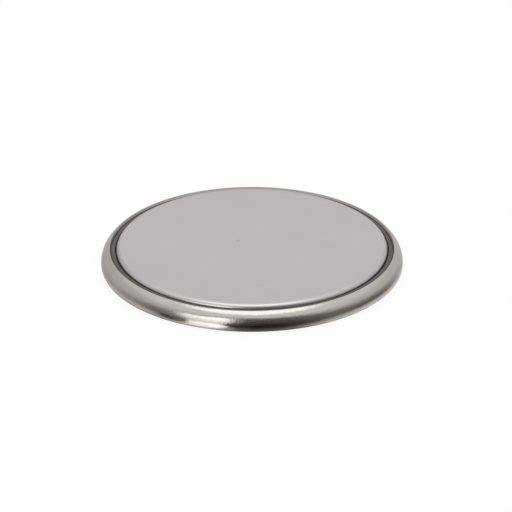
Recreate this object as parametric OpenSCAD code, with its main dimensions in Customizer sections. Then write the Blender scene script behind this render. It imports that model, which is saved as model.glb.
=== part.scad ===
// Lithium coin cell: a crimped steel can, a stepped steel cap, the moulded gasket between them
// and the disc-shaped stack inside.
// The origin is the centre of the positive face, and +Z points out of the negative face.

/* [Cell] */
// Outside diameter of the cell
cell_d = 20; // [16:0.5:24.5]
// Height over both faces
cell_h = 1.6; // [1.4:0.05:3.2]
// Width of the ring around the raised face, from the can's wall in to the cap's wall
ring_w = 1; // [0.92:0.01:1.08]

/* [Positive can] */
// Thickness of the can's sheet
can_t = 0.2; // [0.15:0.01:0.22]
// Inside radius of the wide bend that lifts the base towards the wall
can_wide_r = 0.7; // [0.5:0.1:1]
// Slope at which the wide bend hands over to the tight one
can_wide_angle = 25; // [20:1:30]
// Inside radius of the tight bend below the wall
can_tight_r = 0.05; // [0.03:0.01:0.1]
// Inside radius of the shoulder that is crimped over the gasket
crimp_r = 0.93; // [0.84:0.01:1.02]
// Angle through which the shoulder is rolled in
crimp_angle = 58; // [52:1:63]
// Drop from the negative face to the crimp's highest edge
crimp_drop = 0.22; // [0.16:0.01:0.26]
// Least height of the upright band between the lower bends and the shoulder
band_h = 0.03; // [0.02:0.01:0.1]
// Radius on the two edges of the trimmed lip
lip_edge_r = 0.04; // [0.02:0.01:0.06]

/* [Negative cap] */
// Thickness of the cap's sheet
cap_t = 0.2; // [0.15:0.01:0.25]
// Inside radius of the wide bend that lets the raised face fall away near its edge
cap_wide_r = 2.5; // [1.5:0.1:3]
// Slope at which the wide bend hands over to the tight one
cap_wide_angle = 10; // [5:1:12]
// Inside radius of the tight bend around the raised face
cap_tight_r = 0.15; // [0.08:0.01:0.2]
// Inside radius of the two bends at the flange
flange_bend_r = 0.1; // [0.06:0.01:0.12]

/* [Gasket] */
// Thickness between the can's wall and the cap's skirt
gasket_side_t = 0.35; // [0.3:0.01:0.4]
// Thickness over the cap's flange, below the lip
gasket_top_t = 0.25; // [0.2:0.01:0.3]
// Thickness below the end of the cap's skirt
gasket_foot_t = 0.28; // [0.2:0.01:0.34]
// Thickness of the low wall inside the skirt
gasket_inner_t = 0.3; // [0.2:0.01:0.35]
// Clearance between the top of the low wall and the cap's flange
gasket_inner_gap = 0.08; // [0.04:0.01:0.15]
// Open gap between the gasket's curled edge and the cap's wall
gasket_gap = 0.06; // [0.04:0.01:0.1]
// Radius on the gasket's moulded edges
gasket_edge_r = 0.08; // [0.05:0.01:0.1]

/* [Electrodes] */
// Thickness of the lithium disc
lithium_t = 0.25; // [0.15:0.01:0.35]
// Clearance from the lithium disc to the cap's wall
lithium_gap = 1.05; // [0.9:0.05:2]
// Thickness of the separator
separator_t = 0.12; // [0.05:0.01:0.2]
// Clearance from the separator to the cap's wall
separator_gap = 0.25; // [0.1:0.05:1]
// Clearance from the cathode pellet to the gasket's low wall
pellet_gap = 1.15; // [0.3:0.05:2]
// Chamfer on the pellet's pressed edges
pellet_chamfer = 0.08; // [0.02:0.01:0.15]
// Thickness of the collector grid
grid_t = 0.05; // [0.03:0.01:0.1]
// Margin of the pellet around the collector grid
grid_margin = 0.3; // [0.1:0.05:1]
// Length of the grid's diamonds
grid_long = 2.8; // [2.4:0.1:4]
// Width of the grid's diamonds
grid_short = 1.3; // [1.2:0.1:2]
// Width of the grid's strands
grid_strand = 0.2; // [0.1:0.02:0.3]

/* [Hidden] */
$fn = 180;

steel = [0.74, 0.73, 0.72];
polypropylene = [0.16, 0.16, 0.17];
lithium_metal = [0.83, 0.83, 0.85];
fleece = [0.95, 0.95, 0.92];
manganese_dioxide = [0.11, 0.11, 0.12];

// The can's bends, measured on its outside
cell_r = cell_d / 2;
can_wide_out = can_wide_r + can_t;
can_tight_out = can_tight_r + can_t;
can_tight_z = corner_y(can_wide_out, can_wide_angle, can_tight_out);
can_flat_r = cell_r - corner_x(can_wide_out, can_wide_angle, can_tight_out);

// The shoulder's radius is limited by the height of the wall above the upright band
crimp_top_z = cell_h - crimp_drop;
crimp_out = min(crimp_r + can_t, (crimp_top_z - can_tight_z - band_h) / sin(crimp_angle));
crimp_in = crimp_out - can_t;
crimp_x = cell_r - crimp_out;
crimp_z = crimp_top_z - crimp_out * sin(crimp_angle);

// The cap's bends, measured on its outside
cap_r = cell_r - ring_w;
cap_wide_out = cap_wide_r + cap_t;
cap_tight_out = cap_tight_r + cap_t;
cap_tight_z = cell_h - corner_y(cap_wide_out, cap_wide_angle, cap_tight_out);
cap_flat_r = cap_r - corner_x(cap_wide_out, cap_wide_angle, cap_tight_out);

// The cap's flange lies below the lip, and its skirt stands in the gasket's trough
lip_inner_z = crimp_z + crimp_in * sin(crimp_angle);
flange_z = lip_inner_z - gasket_top_t;
skirt_r = cell_r - can_t - gasket_side_t;
skirt_z = can_t + gasket_foot_t;
flange_bend_out = flange_bend_r + cap_t;

// The gasket's low wall and the rounded edge of its curl
gasket_r = skirt_r - cap_t - gasket_inner_t;
low_wall_z = flange_z - cap_t - gasket_inner_gap;
curl_r = crimp_in - gasket_edge_r;
curl_angle = acos((cap_r + gasket_gap + gasket_edge_r - crimp_x) / curl_r);

// The stack fills the height between the can's floor and the cap
lithium_r = cap_r - cap_t - lithium_gap;
separator_r = cap_r - cap_t - separator_gap;
pellet_r = gasket_r - pellet_gap;
grid_r = pellet_r - grid_margin;
lithium_z = cell_h - cap_t - lithium_t;
separator_z = lithium_z - separator_t;
pellet_z = can_t + grid_t;
pellet_h = separator_z - pellet_z;

// How far a corner of two bends reaches in from the wall, and down from the closed end to the
// centre of its tight bend
function corner_x(wide, angle, tight) = tight + (wide - tight) * sin(angle);
function corner_y(wide, angle, tight) = wide - (wide - tight) * cos(angle);

// Rectangle between two corners of the half-section
module block(from, to) {
    translate(from)
        square(to - from);
}

// Sector of a disc, up to 120 degrees wide
module sector(radius, from, to) {
    reach = 4 * radius;
    intersection() {
        circle(radius);
        polygon([[0, 0], reach * [cos(from), sin(from)], reach * [cos(to), sin(to)]]);
    }
}

// Corner of a drawn cup with its closed end on y = 0 and its wall on x = 0, filled below
// the face that lies inset below the outside: a wide bend that runs into a tight one
module corner_fill(wide, angle, tight, inset) {
    intersection() {
        translate([-corner_x(wide, angle, tight), -wide])
            sector(wide - inset, 90 - angle, 90 + angle);
        block([-wide, -corner_y(wide, angle, tight) - tight], [0, 0]);
    }
    translate([-tight, -corner_y(wide, angle, tight)])
        circle(tight - inset);
}

// Everything inside the can's face that lies inset below its outside
module can_fill(inset) {
    block([0, inset], [can_flat_r, crimp_z]);
    translate([cell_r, 0])
        mirror([0, 1])
            corner_fill(can_wide_out, can_wide_angle, can_tight_out, inset);
    block([0, can_tight_z], [cell_r - inset, crimp_z]);
    intersection() {
        translate([crimp_x, crimp_z])
            circle(crimp_out - inset);
        block([crimp_x, can_tight_z], [cell_r, 2 * cell_h]);
    }
    block([0, can_tight_z], [crimp_x, crimp_z + crimp_out - inset]);
}

// Everything inside the cap's face that lies inset below its outside, down to the height bottom
module cap_fill(inset, bottom) {
    // Raised face and its wall
    block([0, bottom], [cap_flat_r, cell_h - inset]);
    translate([cap_r, cell_h])
        corner_fill(cap_wide_out, cap_wide_angle, cap_tight_out, inset);
    block([0, bottom], [cap_r - inset, cap_tight_z]);
    // Hollow bend from the wall to the flange
    difference() {
        block([0, bottom], [cap_r + flange_bend_r, flange_z + flange_bend_r]);
        translate([cap_r + flange_bend_r, flange_z + flange_bend_r])
            circle(flange_bend_r + inset);
    }
    // Flange, round bend and skirt
    block([0, bottom], [skirt_r - flange_bend_out, flange_z - inset]);
    intersection() {
        translate([skirt_r - flange_bend_out, flange_z - flange_bend_out])
            circle(flange_bend_out - inset);
        block([0, bottom], [cell_r, cell_h]);
    }
    block([0, bottom], [skirt_r - inset, flange_z - flange_bend_out]);
}

// Trimmed end of a sheet that runs along +Y, with both of its edges rounded
module sheet_end(thickness, edge_r) {
    block([edge_r, -edge_r], [thickness - edge_r, edge_r]);
    for (x = [edge_r, thickness - edge_r])
        translate([x, 0])
            circle(edge_r);
}

module can() {
    color(steel)
        rotate_extrude() {
            difference() {
                can_fill(0);
                can_fill(can_t);
                // Mouth that the crimp leaves open
                block([0, can_t], [crimp_x, 2 * cell_h]);
                translate([crimp_x, crimp_z])
                    sector(2 * crimp_out, crimp_angle, 90 + crimp_angle);
            }
            translate([crimp_x, crimp_z])
                rotate(crimp_angle)
                    translate([crimp_in, 0])
                        sheet_end(can_t, lip_edge_r);
        }
}

module cap() {
    color(steel)
        rotate_extrude()
            difference() {
                cap_fill(0, skirt_z);
                cap_fill(cap_t, 0);
            }
}

module gasket() {
    color(polypropylene)
        rotate_extrude() {
            difference() {
                intersection() {
                    can_fill(can_t);
                    block([gasket_r, 0], [cell_r, cell_h]);
                }
                // Trough for the skirt, and the room above the low wall
                difference() {
                    cap_fill(0, skirt_z);
                    low_wall();
                }
                // Open gap beside the cap's wall, and everything above the hollow bend inside it
                block([0, flange_z + flange_bend_r], [cap_r + gasket_gap, cell_h]);
                translate([crimp_x, crimp_z])
                    rotate(curl_angle)
                        translate([curl_r, 0])
                            sector(crimp_in, 0, 180 - curl_angle);
            }
            translate([crimp_x, crimp_z])
                rotate(curl_angle)
                    translate([curl_r, 0])
                        circle(gasket_edge_r);
        }
}

// Low wall that keeps the skirt away from the pellet, with both of its top edges rounded
module low_wall() {
    inner_r = gasket_r + gasket_edge_r;
    outer_r = gasket_r + gasket_inner_t - gasket_edge_r;
    block([gasket_r, skirt_z], [gasket_r + gasket_inner_t, low_wall_z - gasket_edge_r]);
    block([inner_r, skirt_z], [outer_r, low_wall_z]);
    for (x = [inner_r, outer_r])
        translate([x, low_wall_z - gasket_edge_r])
            circle(gasket_edge_r);
}

module lithium_anode() {
    color(lithium_metal)
        translate([0, 0, lithium_z])
            cylinder(r = lithium_r, h = lithium_t);
}

module separator() {
    color(fleece)
        translate([0, 0, separator_z])
            cylinder(r = separator_r, h = separator_t);
}

module cathode_pellet() {
    color(manganese_dioxide)
        translate([0, 0, pellet_z])
            rotate_extrude()
                polygon([
                    [0, 0],
                    [pellet_r - pellet_chamfer, 0],
                    [pellet_r, pellet_chamfer],
                    [pellet_r, pellet_h - pellet_chamfer],
                    [pellet_r - pellet_chamfer, pellet_h],
                    [0, pellet_h]
                ]);
}

// Expanded mesh with a plain rim: every other row of diamonds is shifted by half a diamond
module collector_grid() {
    rows = ceil(grid_r / grid_short) * 2;
    columns = ceil(grid_r / grid_long);
    half_long = grid_long / 2 - grid_strand;
    half_short = half_long * grid_short / grid_long;
    diamond = [[half_long, 0], [0, half_short], [-half_long, 0], [0, -half_short]];
    color(steel)
        translate([0, 0, can_t])
            linear_extrude(grid_t)
                difference() {
                    circle(grid_r);
                    intersection() {
                        circle(grid_r - grid_strand);
                        for (row = [-rows : rows], column = [-columns : columns])
                            translate([(column + (row % 2) / 2) * grid_long, row * grid_short / 2])
                                polygon(diamond);
                    }
                }
}

can();
cap();
gasket();
lithium_anode();
separator();
cathode_pellet();
collector_grid();
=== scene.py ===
"""Lithium coin cell lying on its positive face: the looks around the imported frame.

Units: sizes are named in millimetres and turned into metres by MM. The origin is the centre of
the positive face, and +Z points out of the negative face.
"""

import math

import bmesh
import bpy
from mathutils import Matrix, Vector


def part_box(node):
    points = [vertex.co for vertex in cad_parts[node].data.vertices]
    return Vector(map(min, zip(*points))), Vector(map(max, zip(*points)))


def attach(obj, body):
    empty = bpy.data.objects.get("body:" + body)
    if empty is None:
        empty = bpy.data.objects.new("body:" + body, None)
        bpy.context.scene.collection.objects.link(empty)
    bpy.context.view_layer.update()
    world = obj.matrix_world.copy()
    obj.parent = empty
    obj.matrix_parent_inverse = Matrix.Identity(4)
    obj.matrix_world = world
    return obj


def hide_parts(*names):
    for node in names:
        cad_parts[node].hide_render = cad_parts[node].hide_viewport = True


MM = 0.001
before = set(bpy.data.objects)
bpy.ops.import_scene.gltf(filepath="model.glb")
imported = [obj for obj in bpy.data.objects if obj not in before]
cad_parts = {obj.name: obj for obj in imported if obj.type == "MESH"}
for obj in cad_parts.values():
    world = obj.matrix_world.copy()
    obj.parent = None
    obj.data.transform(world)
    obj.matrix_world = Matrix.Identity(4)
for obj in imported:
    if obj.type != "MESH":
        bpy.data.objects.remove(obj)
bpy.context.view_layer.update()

# Camera
VIEW_ELEVATION = math.radians(25.87)
CAMERA_DISTANCE = 250 * MM
LENS_MM = 264.7
SENSOR_MM = 36
AIM_RIGHT = 0.267 * MM
AIM_UP = 0.635 * MM

# The cell and its drawn sheet
CELL_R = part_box("can")[1].x / MM
CELL_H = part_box("cap")[1].z / MM
SHEET_T = 0.2

# The can, measured on its outside: wide and tight bend below the wall, and the crimped shoulder
CAN_WIDE_R = 0.9
CAN_WIDE_ANGLE = 25
CAN_TIGHT_R = 0.25
SHOULDER_R = 1.13
SHOULDER_ANGLE = 58
SHOULDER_TOP = CELL_H - 0.22
LIP_EDGE_R = 0.04

# Heights between which the painted shade on the lip's cut edge, beside the gasket, sets in
LIP_SHADE_Z = (1.0, 1.1)

# The cap, measured on its outside
CAP_R = CELL_R - 1
CAP_WIDE_R = 2.7
CAP_WIDE_ANGLE = 10
CAP_TIGHT_R = 0.35
HOLLOW_R = 0.1
FLANGE_BEND_R = 0.3
SKIRT_R = 9.45
SKIRT_Z = 0.48

# The gasket
GASKET_R = 8.95
GASKET_TOP_T = 0.25
LOW_WALL_T = 0.3
LOW_WALL_GAP = 0.08
GASKET_GAP = 0.06
GASKET_EDGE_R = 0.08

# The plus sign pressed into the positive face
PLUS_AT = (0, 5)
PLUS_LENGTH = 2.6
PLUS_STROKE = 0.45
PLUS_DEPTH = 0.03

# Specks on the cap: place, radius and strength
SPECKS = ((-0.92, 0.5, 0.17, 0.4), (6, -1.9, 0.14, 0.15), (5.8, 5.6, 0.2, 0.2), (5.7, -6.7, 0.14, 0.15))

# Tint of the painted reflection's light and of its dark parts
WARM = (1, 0.99, 0.975)
DARK_WARM = (1, 0.88, 0.79)

# Fineness of the turned pieces: steps around, degrees for each step of an arc, and the angle in
# degrees above which an edge stays crisp
SEGMENTS = 440
ARC_STEP = 3
SHARP_ANGLE = 40

SHOULDER_X = CELL_R - SHOULDER_R
SHOULDER_Z = SHOULDER_TOP - SHOULDER_R * math.sin(math.radians(SHOULDER_ANGLE))


# Outlines of the half-sections, in mm


def polar(centre, radius, angle):
    a = math.radians(angle)
    return (centre[0] + radius * math.cos(a), centre[1] + radius * math.sin(a))


def arc(centre, radius, start, end):
    """Points along an arc, in degrees from +X."""
    steps = max(2, math.ceil(abs(end - start) / ARC_STEP))
    return [polar(centre, radius, start + (end - start) * i / steps) for i in range(steps + 1)]


def can_bends(inset):
    """The can's face that lies inset below its outside, from the base's flat to the wall."""
    tight_in = CAN_TIGHT_R + (CAN_WIDE_R - CAN_TIGHT_R) * math.sin(math.radians(CAN_WIDE_ANGLE))
    tight_up = CAN_WIDE_R - (CAN_WIDE_R - CAN_TIGHT_R) * math.cos(math.radians(CAN_WIDE_ANGLE))
    wide = arc((CELL_R - tight_in, CAN_WIDE_R), CAN_WIDE_R - inset, -90, CAN_WIDE_ANGLE - 90)
    tight = arc((CELL_R - CAN_TIGHT_R, tight_up), CAN_TIGHT_R - inset, CAN_WIDE_ANGLE - 90, 0)
    return wide + tight[1:]


def shoulder(inset, end):
    return arc((SHOULDER_X, SHOULDER_Z), SHOULDER_R - inset, 0, end)


def can_outline():
    centre = (SHOULDER_X, SHOULDER_Z)
    end = SHOULDER_ANGLE
    outer_edge = polar(centre, SHOULDER_R - LIP_EDGE_R, end)
    inner_edge = polar(centre, SHOULDER_R - SHEET_T + LIP_EDGE_R, end)
    lip = arc(outer_edge, LIP_EDGE_R, end, end + 90)
    lip += arc(inner_edge, LIP_EDGE_R, end + 90, end + 180)
    outside = can_bends(0) + shoulder(0, end)
    inside = can_bends(SHEET_T) + shoulder(SHEET_T, end)
    return [(0, 0)] + outside + lip[1:-1] + inside[::-1] + [(0, SHEET_T)]


def flange_z():
    inner_lip = SHOULDER_R - SHEET_T
    return SHOULDER_Z + inner_lip * math.sin(math.radians(SHOULDER_ANGLE)) - GASKET_TOP_T


def cap_face(inset):
    """The cap's face that lies inset below its outside, from the axis to the skirt's end."""
    slope = math.radians(CAP_WIDE_ANGLE)
    tight_in = CAP_TIGHT_R + (CAP_WIDE_R - CAP_TIGHT_R) * math.sin(slope)
    tight_down = CAP_WIDE_R - (CAP_WIDE_R - CAP_TIGHT_R) * math.cos(slope)
    wide = arc((CAP_R - tight_in, CELL_H - CAP_WIDE_R), CAP_WIDE_R - inset, 90, 90 - CAP_WIDE_ANGLE)
    tight = arc((CAP_R - CAP_TIGHT_R, CELL_H - tight_down), CAP_TIGHT_R - inset, 90 - CAP_WIDE_ANGLE, 0)
    hollow = arc((CAP_R + HOLLOW_R, flange_z() + HOLLOW_R), HOLLOW_R + inset, 180, 270)
    bend = arc((SKIRT_R - FLANGE_BEND_R, flange_z() - FLANGE_BEND_R), FLANGE_BEND_R - inset, 90, 0)
    return [(0, CELL_H - inset)] + wide + tight[1:] + hollow + bend + [(SKIRT_R - inset, SKIRT_Z)]


def cap_outline():
    return cap_face(0) + cap_face(SHEET_T)[::-1]


def gasket_outline():
    curl_r = SHOULDER_R - SHEET_T - GASKET_EDGE_R
    tip_r = CAP_R + GASKET_GAP + GASKET_EDGE_R
    curl_angle = math.degrees(math.acos((tip_r - SHOULDER_X) / curl_r))
    tip = polar((SHOULDER_X, SHOULDER_Z), curl_r, curl_angle)
    hollow = (CAP_R + HOLLOW_R, flange_z() + HOLLOW_R)
    bend = (SKIRT_R - FLANGE_BEND_R, flange_z() - FLANGE_BEND_R)
    wall_top = flange_z() - SHEET_T - LOW_WALL_GAP - GASKET_EDGE_R
    wall_out = GASKET_R + LOW_WALL_T
    points = [(GASKET_R, SHEET_T)] + can_bends(SHEET_T) + shoulder(SHEET_T, curl_angle)
    points += arc(tip, GASKET_EDGE_R, curl_angle, 180)[1:]
    points += [hollow] + arc(hollow, HOLLOW_R, 180, 270)
    points += arc(bend, FLANGE_BEND_R, 90, 0) + [(SKIRT_R, SKIRT_Z), (wall_out, SKIRT_Z)]
    points += arc((wall_out - GASKET_EDGE_R, wall_top), GASKET_EDGE_R, 0, 90)
    points += arc((GASKET_R + GASKET_EDGE_R, wall_top), GASKET_EDGE_R, 90, 180)
    return points


# Meshes


def without_repeats(outline):
    """The outline without points that fall on the one before."""
    return [p for p, q in zip(outline, outline[-1:] + outline[:-1]) if math.dist(p, q) > 1e-6]


def lathe(name, outline):
    """A closed half-section turned round the Z axis, as a new object."""
    turns = [math.tau * i / SEGMENTS for i in range(SEGMENTS)]
    circle = [(math.cos(t), math.sin(t)) for t in turns]
    bm = bmesh.new()
    rings = []
    for r, z in without_repeats(outline):
        ring = [(0, 0)] if r < 1e-6 else [(r * c, r * s) for c, s in circle]
        rings.append([bm.verts.new((x * MM, y * MM, z * MM)) for x, y in ring])
    for a, b in zip(rings, rings[1:] + rings[:1]):
        if len(a) == len(b) == 1:
            continue
        for i in range(SEGMENTS):
            j = (i + 1) % SEGMENTS
            corners = [a[i % len(a)], a[j % len(a)], b[j % len(b)], b[i % len(b)]]
            bm.faces.new(list(dict.fromkeys(corners)))
    bmesh.ops.recalc_face_normals(bm, faces=bm.faces)
    return new_object(name, bm)


def crisp_mesh(name, bm):
    """bm as a smooth mesh whose edges above SHARP_ANGLE stay crisp."""
    for face in bm.faces:
        face.smooth = True
    for edge in bm.edges:
        if edge.is_manifold:
            edge.smooth = edge.calc_face_angle() < math.radians(SHARP_ANGLE)
    mesh = bpy.data.meshes.new(name)
    bm.to_mesh(mesh)
    bm.free()
    return mesh


def new_object(name, bm):
    """bm as an object with a crisp mesh and normals that keep its flats flat."""
    made = bpy.data.objects.new(name, crisp_mesh(name, bm))
    bpy.context.scene.collection.objects.link(made)
    flat = made.modifiers.new("flat_faces_stay_flat", "WEIGHTED_NORMAL")
    flat.keep_sharp = True
    flat.weight = 100
    return made


def plus_outline(centre, length, stroke):
    """A plus sign, as a closed outline in mm."""
    a, b = stroke / 2, length / 2
    quarter = [(a, b), (a, a), (b, a)]
    turned = quarter + [(y, -x) for x, y in quarter]
    turned += [(-x, -y) for x, y in quarter] + [(-y, x) for x, y in quarter]
    return [(centre[0] + x, centre[1] + y) for x, y in turned]


def press_in(piece, outline, depth):
    """Presses a shallow mark of this outline into the piece's flat face at z = 0."""
    bm = bmesh.new()
    low = [bm.verts.new((x * MM, y * MM, -depth * MM)) for x, y in outline]
    high = [bm.verts.new((x * MM, y * MM, depth * MM)) for x, y in outline]
    bm.faces.new(low)
    bm.faces.new(high)
    for i in range(len(low)):
        bm.faces.new((low[i - 1], low[i], high[i], high[i - 1]))
    bmesh.ops.recalc_face_normals(bm, faces=bm.faces)
    punch = bpy.data.objects.new("punch", crisp_mesh("punch", bm))
    bpy.context.scene.collection.objects.link(punch)
    piece.modifiers[0].show_viewport = False
    cut = piece.modifiers.new("pressed_mark", "BOOLEAN")
    cut.operation = "DIFFERENCE"
    cut.solver = "EXACT"
    cut.object = punch
    ready = piece.evaluated_get(bpy.context.evaluated_depsgraph_get())
    bm = bmesh.new()
    bm.from_mesh(bpy.data.meshes.new_from_object(ready))
    material = piece.data.materials[0]
    piece.data = crisp_mesh(piece.name, bm)
    piece.data.materials.append(material)
    piece.modifiers.remove(cut)
    piece.modifiers[0].show_viewport = True
    bpy.data.objects.remove(punch)


# Materials


class Shader:
    """A material's node tree, with short calls for the nodes used here."""

    def __init__(self, name, base_color, metallic=0.0, **constants):
        self.material = bpy.data.materials.new(name)
        self.material.use_nodes = True
        self.tree = self.material.node_tree
        self.principled = self.tree.nodes["Principled BSDF"]
        self.principled.inputs["Base Color"].default_value = (*base_color, 1)
        self.principled.inputs["Metallic"].default_value = metallic
        for key, value in constants.items():
            self.principled.inputs[key.replace("_", " ")].default_value = value
        self.base_color = base_color
        self.height = None

    def node(self, kind, inputs=(), **settings):
        made = self.tree.nodes.new(kind)
        for key, value in settings.items():
            setattr(made, key, value)
        for key, value in dict(inputs).items():
            if isinstance(value, bpy.types.NodeSocket):
                self.tree.links.new(value, made.inputs[key])
            else:
                made.inputs[key].default_value = value
        return made

    def place_mm(self, stretch=(1, 1, 1)):
        """The place on the object in mm, times stretch."""
        place = self.node("ShaderNodeTexCoord").outputs["Object"]
        factors = tuple(s / MM for s in stretch)
        return self.node("ShaderNodeVectorMath", {0: place, 1: factors}, operation="MULTIPLY").outputs[0]

    def noise(self, per_mm, detail=2.0, stretch=(1, 1, 1), rough=0.5):
        inputs = {"Vector": self.place_mm(stretch), "Scale": per_mm, "Detail": detail, "Roughness": rough}
        return self.node("ShaderNodeTexNoise", inputs).outputs["Fac"]

    def span(self, value, low, high, source=(0.3, 0.7)):
        """value, from the source span to low and high."""
        inputs = {"Value": value, "To Min": low, "To Max": high}
        inputs.update({"From Min": source[0], "From Max": source[1]})
        return self.node("ShaderNodeMapRange", inputs, clamp=True).outputs["Result"]

    def math(self, operation, a, b):
        return self.node("ShaderNodeMath", {0: a, 1: b}, operation=operation).outputs[0]

    def mix_color(self, factor, a, b):
        """Two colours mixed by factor."""
        made = self.node("ShaderNodeMix", data_type="RGBA")
        for socket, value in ((made.inputs[6], a), (made.inputs[7], b)):
            if isinstance(value, bpy.types.NodeSocket):
                self.tree.links.new(value, socket)
            else:
                socket.default_value = (*value, 1)
        self.tree.links.new(factor, made.inputs[0])
        return made.outputs[2]

    def shade(self, factor, amount):
        """The base colour, darker by amount where factor is 0."""
        darker = tuple(c * (1 - amount) for c in self.base_color)
        return self.mix_color(factor, darker, self.base_color)

    def set(self, socket, value):
        self.tree.links.new(value, self.principled.inputs[socket])

    def bump(self, height, depth_um):
        """Adds a relief whose full depth is depth_um micrometres."""
        inputs = {"Height": height, "Distance": depth_um * 1e-6, "Strength": 1.0}
        if self.height is not None:
            inputs["Normal"] = self.height
        self.height = self.node("ShaderNodeBump", inputs).outputs["Normal"]
        self.set("Normal", self.height)


def steel(name, base_color, roughness, ripple_um, streaks, uneven=1.0, grain_per_mm=14, sparkle_um=0.05):
    """Satin nickel-plated steel sheet: fine grain, cloudy gloss and a trace of the forming tools."""
    s = Shader(name, base_color, metallic=1.0)
    clouds = s.noise(0.45, detail=3)
    grain = s.noise(grain_per_mm, detail=3, rough=0.6)
    lines = s.noise(6, detail=2, stretch=streaks)
    s.colour = s.shade(s.span(clouds, 0, 1), 0.04 * uneven)
    s.set("Base Color", s.colour)
    change = s.math("ADD", s.span(clouds, -0.02, 0.02), s.span(grain, -0.03, 0.03))
    change = s.math("ADD", change, s.span(lines, -0.015, 0.015))
    s.set("Roughness", s.math("ADD", s.math("MULTIPLY", change, uneven), roughness))
    s.bump(s.noise(0.9, detail=1), ripple_um)
    s.bump(lines, 0.25 * uneven)
    s.bump(grain, sparkle_um)
    return s


def can_steel():
    """The can's sheet, with painted shade: the lip's cut edge beside the gasket is drawn darker."""
    s = steel("can_nickel", (0.598, 0.566, 0.538), 0.165, 7, (1, 1, 0.1), grain_per_mm=6, sparkle_um=10)
    height = s.node("ShaderNodeSeparateXYZ", {0: s.place_mm()}).outputs["Z"]
    reach = s.node("ShaderNodeVectorMath", {0: s.place_mm((1, 1, 0))}, operation="LENGTH").outputs["Value"]
    lip_r = polar((SHOULDER_X, SHOULDER_Z), SHOULDER_R, SHOULDER_ANGLE)[0]
    # Painted shade of the crease beside the gasket: the lip's cut edge gets a darker colour
    within_lip = s.span(reach, 1, 0, (lip_r - 0.03, lip_r - 0.01))
    edge = s.math("MULTIPLY", within_lip, s.span(height, 0, 1, LIP_SHADE_Z))
    s.set("Base Color", s.mix_color(edge, s.colour, (0.4, 0.38, 0.365)))
    return s.material


def cap_steel():
    """The cap's sheet, with a few specks of handling dirt."""
    s = steel("cap_nickel", (0.6, 0.575, 0.578), 0.26, 0.6, (0.05, 1, 1), uneven=0.3)
    across = s.place_mm((1, 1, 0))
    dirt = 0.0
    for x, y, radius, amount in SPECKS:
        inputs = {0: across, 1: (x, y, 0)}
        away = s.node("ShaderNodeVectorMath", inputs, operation="DISTANCE").outputs["Value"]
        dirt = s.math("MAXIMUM", s.span(away, amount, 0, (0.3 * radius, radius)), dirt)
    s.set("Base Color", s.mix_color(dirt, s.colour, (0.38, 0.36, 0.35)))
    return s.material


def gasket_plastic():
    """Dark moulded polypropylene with a dull, slightly pitted skin."""
    s = Shader("gasket_polypropylene", (0.115, 0.106, 0.1), Specular_IOR_Level=0.4)
    clouds = s.noise(0.8, detail=3)
    skin = s.noise(18, detail=3, rough=0.6)
    s.set("Base Color", s.shade(s.span(clouds, 0, 1), 0.25))
    s.set("Roughness", s.span(skin, 0.42, 0.58))
    s.bump(skin, 1.5)
    return s.material


def rolled_lithium():
    """Soft rolled foil, dulled by a thin film, with faint lines along the rolling direction."""
    s = Shader("rolled_lithium", (0.72, 0.72, 0.74), metallic=1.0)
    film = s.noise(0.35, detail=4)
    rolled = s.noise(3, detail=4, stretch=(0.08, 1, 1))
    s.set("Base Color", s.mix_color(s.span(film, 0, 1), (0.5, 0.5, 0.54), (0.74, 0.74, 0.75)))
    s.set("Roughness", s.math("ADD", s.span(film, 0.5, 0.32), s.span(rolled, -0.05, 0.05)))
    s.bump(rolled, 4)
    return s.material


def fleece():
    """Non-woven polypropylene: crossing fibres pressed into a thin sheet."""
    s = Shader("polypropylene_fleece", (0.86, 0.86, 0.83), Sheen_Weight=0.15)
    along = s.noise(7, detail=3, stretch=(0.12, 1, 1))
    across = s.noise(7, detail=3, stretch=(1, 0.12, 1))
    fibres = s.math("MAXIMUM", along, across)
    s.set("Base Color", s.shade(s.span(fibres, 0, 1), 0.22))
    s.set("Roughness", s.span(fibres, 0.75, 0.92))
    s.bump(fibres, 14)
    return s.material


def pressed_powder():
    """Manganese dioxide and carbon pressed into a pellet: near black, granular, a little shiny."""
    s = Shader("pressed_powder", (0.035, 0.035, 0.038), Specular_IOR_Level=0.35)
    grains = s.noise(9, detail=5, rough=0.7)
    clouds = s.noise(0.6, detail=3)
    s.set("Base Color", s.mix_color(s.span(grains, 0, 1), (0.018, 0.018, 0.02), (0.07, 0.07, 0.074)))
    s.set("Roughness", s.math("ADD", s.span(clouds, 0.55, 0.72), s.span(grains, -0.06, 0.06)))
    s.bump(grains, 12)
    return s.material


def mesh_steel():
    """Plain steel of the collector grid."""
    return steel("mesh_steel", (0.6, 0.6, 0.6), 0.35, 1, (1, 0.1, 1)).material


# Stage


def add_camera():
    """Camera at the photo's height and distance, aimed a little beside the centre."""
    data = bpy.data.cameras.new("camera")
    data.lens = LENS_MM
    data.sensor_width = SENSOR_MM
    data.clip_start = 10 * MM
    data.clip_end = 5000 * MM
    camera = bpy.data.objects.new("camera", data)
    bpy.context.scene.collection.objects.link(camera)
    ahead = Vector((0, math.cos(VIEW_ELEVATION), -math.sin(VIEW_ELEVATION)))
    up = Vector((0, math.sin(VIEW_ELEVATION), math.cos(VIEW_ELEVATION)))
    camera.location = Vector((AIM_RIGHT, 0, 0)) + up * AIM_UP - ahead * CAMERA_DISTANCE
    camera.rotation_euler = (math.pi / 2 - VIEW_ELEVATION, 0, 0)
    bpy.context.scene.camera = camera


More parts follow.
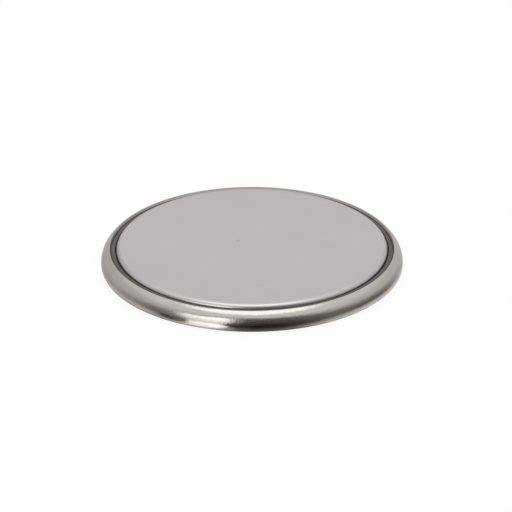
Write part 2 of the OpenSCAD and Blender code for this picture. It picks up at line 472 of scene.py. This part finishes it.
def add_world():
    """A plain pale studio: white at the horizon, an even tone above it."""
    world = bpy.data.worlds.new("studio")
    bpy.context.scene.world = world
    world.use_nodes = True
    tree = world.node_tree
    place = tree.nodes.new("ShaderNodeTexCoord")
    split = tree.nodes.new("ShaderNodeSeparateXYZ")
    ramp = tree.nodes.new("ShaderNodeValToRGB")
    tree.links.new(place.outputs["Generated"], split.inputs[0])
    tree.links.new(split.outputs["Z"], ramp.inputs["Fac"])
    tree.links.new(ramp.outputs["Color"], tree.nodes["Background"].inputs["Color"])
    stops = ((0.04, 0.97), (0.2, 0.8), (0.6, 0.82), (0.95, 0.92))
    while len(ramp.color_ramp.elements) < len(stops):
        ramp.color_ramp.elements.new(0.5)
    for element, (height, level) in zip(ramp.color_ramp.elements, stops):
        element.position = height
        element.color = (level, level, level, 1)


# The softbox: length and width in mm, place in mm, and watts
SOFTBOX_SIZE = (345, 172)
SOFTBOX_AT = (0, -86, 300)
SOFTBOX_POWER = 0.141


def add_softbox():
    """Wide soft light above, a little to the front."""
    data = bpy.data.lights.new("softbox", "AREA")
    data.shape = "RECTANGLE"
    data.size = SOFTBOX_SIZE[0] * MM
    data.size_y = SOFTBOX_SIZE[1] * MM
    data.energy = SOFTBOX_POWER
    lamp = bpy.data.objects.new("softbox", data)
    lamp.location = [c * MM for c in SOFTBOX_AT]
    bpy.context.scene.collection.objects.link(lamp)


# The floor: its radius, its place just under the cell, and the share of its white that is its own
FLOOR_R = 600
FLOOR_Z = -0.01
OWN_LIGHT = 0.92


def add_floor():
    """Pale floor. Part of its white is its own light, so that the shadow on it stays faint."""
    bm = bmesh.new()
    bmesh.ops.create_circle(bm, cap_ends=True, radius=FLOOR_R * MM, segments=128)
    mesh = bpy.data.meshes.new("floor")
    bm.to_mesh(mesh)
    bm.free()
    floor = bpy.data.objects.new("floor", mesh)
    floor.location.z = FLOOR_Z * MM
    bpy.context.scene.collection.objects.link(floor)
    s = Shader("pale_floor", (0.96, 0.96, 0.96), Roughness=0.8)
    rays = s.node("ShaderNodeLightPath").outputs
    seen = s.math("MAXIMUM", rays["Is Camera Ray"], rays["Is Glossy Ray"])
    seen = s.math("MAXIMUM", seen, rays["Is Transmission Ray"])
    white = s.node("ShaderNodeEmission", {"Color": (1, 1, 1, 1), "Strength": 1.0})
    factor = s.math("MULTIPLY", seen, OWN_LIGHT)
    mixed = s.node("ShaderNodeMixShader", {0: factor})
    s.tree.links.new(s.principled.outputs[0], mixed.inputs[1])
    s.tree.links.new(white.outputs[0], mixed.inputs[2])
    s.tree.links.new(mixed.outputs[0], s.tree.nodes["Material Output"].inputs["Surface"])
    floor.data.materials.append(s.material)


def smooth(low, high, value):
    t = min(1, max(0, (value - low) / (high - low)))
    return t * t * (3 - 2 * t)


def blend(a, b, share):
    return a + (b - a) * share


def along(stops, value):
    """The level at value on straight lines between (place, level) stops."""
    for (a, low), (b, high) in zip(stops, stops[1:]):
        if value <= b:
            return blend(low, high, max(0, (value - a) / (b - a)))
    return stops[-1][1]


# The painted reflection: the greys that the glowing bowl shows in the rim, laid out as a studio would be
# mirrored. Places are angles from the front, and heights are angles above the rim's level, both in
# degrees.

# Grey at the horizon, of the table below it, and of the table close to the cell
HORIZON = -9
HORIZON_RIGHT = (
    (0, 0.01), (20, 0.02), (40, 0.085), (60, 0.165), (75, 0.175),
    (90, 0.155), (105, 0.17), (120, 0.25), (150, 0.56), (180, 0.55),
)
HORIZON_LEFT = (
    (0, 0.01), (15, 0.06), (50, 0.2), (60, 0.24), (75, 0.18),
    (90, 0.32), (120, 0.46), (150, 0.45), (180, 0.55),
)
TABLE_RIGHT = (
    (0, 0.075), (18, 0.075), (30, 0.12), (45, 0.31), (60, 0.45), (90, 0.69), (150, 0.75), (180, 0.65),
)
TABLE_LEFT = (
    (0, 0.08), (10, 0.13), (18, 0.46), (30, 1.1), (46, 0.85), (54, 0.34), (60, 0.19),
    (68, 0.18), (74, 0.33), (80, 0.5), (90, 0.64), (150, 0.6), (180, 0.65),
)
DEEP_RIGHT = ((0, 0.16), (30, 0.28), (45, 0.55), (60, 0.85), (90, 0.95), (150, 0.9), (180, 0.75))
DEEP_LEFT = (
    (0, 0.16), (10, 0.22), (18, 0.45), (26, 0.8), (34, 1.1),
    (46, 1), (58, 0.72), (70, 0.58), (90, 0.6), (150, 0.6), (180, 0.75),
)

# Grey of the walls, the heights between which the horizon's grey rises to it, and how much lighter
# the haze gets with each degree of height
WALL_RIGHT = 0.67
WALL_LEFT = ((0, 0.63), (120, 0.63), (150, 0.56), (180, 0.67))
WALL_TOP = 0.86
RISE_FROM = ((0, 33), (20, 32), (30, 29), (45, 16), (60, 2), (90, -8), (180, -11))
RISE_TO = ((0, 47), (30, 43), (45, 41), (60, 37), (90, 21), (120, 8), (180, 4))
HAZE = 0.0033

# Pale backdrop as painted into the reflection, which the flat cap mirrors
BACKDROP = 0.805

# Painted glint at the left of the camera, drawn as two bright cards one above the other: level, left side
# and right side, each by the height
GLINT_LEVELS = (
    (-62, 0.4), (-52, 0.5), (-43, 1.3), (-30, 1.5), (-22, 1.9), (-14, 1.6), (-7, 0.95),
    (2, 1.1), (10, 1.4), (19, 1.9), (26, 1.6), (35, 0.9),
)
GLINT_START = ((-45, -51), (-28, -49), (-12, -49), (-4, -52), (4, -56))
GLINT_EDGE = (
    (-45, -22), (-35, -20), (-28, -17), (-20, -19), (-15, -22),
    (-8, -21), (0, -17), (8, -15), (33, -13.5),
)


def low_level(right, away, below, horizon):
    """Grey at below degrees under the horizon: the table, and the table close to the cell."""
    table = along(TABLE_RIGHT if right else TABLE_LEFT, away)
    deep = along(DEEP_RIGHT if right else DEEP_LEFT, away)
    if right:
        far = smooth(35, 70, away)
    else:
        far = smooth(70, 77, away)
        # Painted dark patch beside the glint
        horizon *= 1 - 0.75 * smooth(0, 11, below) * smooth(52, 64, away) * (1 - smooth(70, 74, away))
    level = blend(horizon, table, smooth(blend(16, 7, far), blend(26, 21, far), below))
    level = blend(level, deep, smooth(30, 50, below))
    # Painted shade under the rim, in the reflection
    return level * (1 - 0.45 * smooth(62, 74, below))


def high_level(right, away, height, horizon):
    """Grey above the horizon: the haze and the wall behind it."""
    wall = blend(WALL_RIGHT if right else along(WALL_LEFT, away), WALL_TOP, smooth(18, 46, height))
    rise = smooth(along(RISE_FROM, away), along(RISE_TO, away), height)
    return blend(horizon + HAZE * (height - HORIZON), wall, rise)


def painted_glint_level(side, height):
    """Grey of the painted glint, and 0 beside it."""
    start = along(GLINT_START, height)
    edge = along(GLINT_EDGE, height)
    soft = 4 * smooth(0, 12, height)
    share = smooth(start - 3, start + 3, side) * (1 - smooth(edge - 5 - soft, edge + 3 + soft, side))
    share *= 1 - smooth(29, 34, height - 0.3 * (side + 30))
    return along(GLINT_LEVELS, height) * (1.1 + 0.012 * (side + 30)) * share


def painted_reflection_level(side, height):
    """Grey of the painted reflection at the angle side from the front, + to the right, and at this height.
    """
    away = abs(side)
    right = side > 0
    horizon = along(HORIZON_RIGHT if right else HORIZON_LEFT, away)
    if height < HORIZON:
        level = low_level(right, away, HORIZON - height, horizon)
    else:
        level = high_level(right, away, height, horizon)
    level = blend(level, BACKDROP, smooth(148, 166, away) * smooth(6, 22, height))
    return max(level, painted_glint_level(side, height))


def mirrored_side(turn, radius):
    """Side in which the camera sees the point at this turn and radius mirrored by the rim, in degrees."""
    low, high = 0.0, 90.0
    for _ in range(24):
        middle = (low + high) / 2
        reach = math.degrees(math.asin(CELL_R / max(radius, CELL_R) * math.sin(math.radians(middle))))
        low, high = (middle, high) if 2 * middle - reach < abs(turn) else (low, middle)
    return math.copysign(low + high, turn)


def seen_height(turn, side, radius, z):
    """Height in degrees of the point above the rim that mirrors it."""
    apart = math.radians(abs(turn) - abs(side) / 2)
    away = math.hypot(max(0, radius * math.cos(apart) - CELL_R), radius * math.sin(apart))
    return math.degrees(math.atan2(z - RIM_Z, max(0.05, away)))


# The bowl: the height of the rim that it is drawn for and its own height over the floor, its steps
# around, the dome's radius, last angle and step, and the radii of the rings inside the dome
RIM_Z = 0.5
BOWL_Z = 0.02
BOWL_TURNS = 288
DOME_R = 60
DOME_TOP = 54
DOME_STEP = 2
BOWL_RINGS = (
    9.4, 9.6, 9.8, 10, 10.1, 10.2, 10.35, 10.5, 10.65, 10.8, 11,
    11.3, 11.6, 12, 12.5, 13.2, 14, 15.5, 18, 24, 36, DOME_R,
)


def add_painted_reflection_bowl():
    """A glowing bowl around the cell that only reflections see. It is no lamp: it paints the reflection's
    greys.
    """
    column = [(r, BOWL_Z) for r in BOWL_RINGS]
    column += [polar((0, BOWL_Z), DOME_R, a) for a in range(DOME_STEP, DOME_TOP + 1, DOME_STEP)]
    bm = bmesh.new()
    colour = bm.verts.layers.float_color.new("level")
    rows = []
    for i in range(BOWL_TURNS + 1):
        turn = -180 + 360 * i / BOWL_TURNS
        a = math.radians(turn)
        row = []
        for r, z in column:
            v = bm.verts.new((r * math.sin(a) * MM, -r * math.cos(a) * MM, z * MM))
            side = mirrored_side(turn, r)
            level = painted_reflection_level(side, seen_height(turn, side, r, z))
            share = smooth(0, 0.5, level)
            v[colour] = (*(level * blend(d, w, share) for d, w in zip(DARK_WARM, WARM)), 1)
            row.append(v)
        rows.append(row)
    for a, b in zip(rows, rows[1:]):
        for k in range(len(a) - 1):
            bm.faces.new((a[k], a[k + 1], b[k + 1], b[k]))
    mesh = bpy.data.meshes.new("painted_reflection_bowl")
    bm.to_mesh(mesh)
    bm.free()
    walls = bpy.data.objects.new("painted_reflection_bowl", mesh)
    bpy.context.scene.collection.objects.link(walls)
    s = Shader("painted_reflection_glow", (0.2, 0.2, 0.2))
    level = s.node("ShaderNodeAttribute", attribute_name="level").outputs["Color"]
    glow = s.node("ShaderNodeEmission", {"Color": level, "Strength": 1.0})
    s.tree.links.new(glow.outputs[0], s.tree.nodes["Material Output"].inputs["Surface"])
    s.material.cycles.emission_sampling = "NONE"
    walls.data.materials.append(s.material)
    for rays in ("camera", "diffuse", "transmission", "shadow", "volume_scatter"):
        setattr(walls, f"visible_{rays}", False)


# Pieces


def add_piece(name, outline, node, material):
    """A turned piece that stands for the CAD node."""
    piece = lathe(name, outline)
    piece.data.materials.append(material)
    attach(piece, "root")
    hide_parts(node)
    return piece


def dress_node(node, material):
    """The CAD node itself, in this material."""
    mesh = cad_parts[node].data
    mesh.materials.clear()
    mesh.materials.append(material)


def main():
    scene = bpy.context.scene
    scene.view_settings.view_transform = "Standard"
    add_camera()
    add_world()
    add_softbox()
    add_floor()
    add_painted_reflection_bowl()
    can = add_piece("can_shell", can_outline(), "can", can_steel())
    press_in(can, plus_outline(PLUS_AT, PLUS_LENGTH, PLUS_STROKE), PLUS_DEPTH)
    add_piece("cap_shell", cap_outline(), "cap", cap_steel())
    add_piece("gasket_ring", gasket_outline(), "gasket", gasket_plastic())
    dress_node("lithium_anode", rolled_lithium())
    dress_node("separator", fleece())
    dress_node("cathode_pellet", pressed_powder())
    dress_node("collector_grid", mesh_steel())


main()
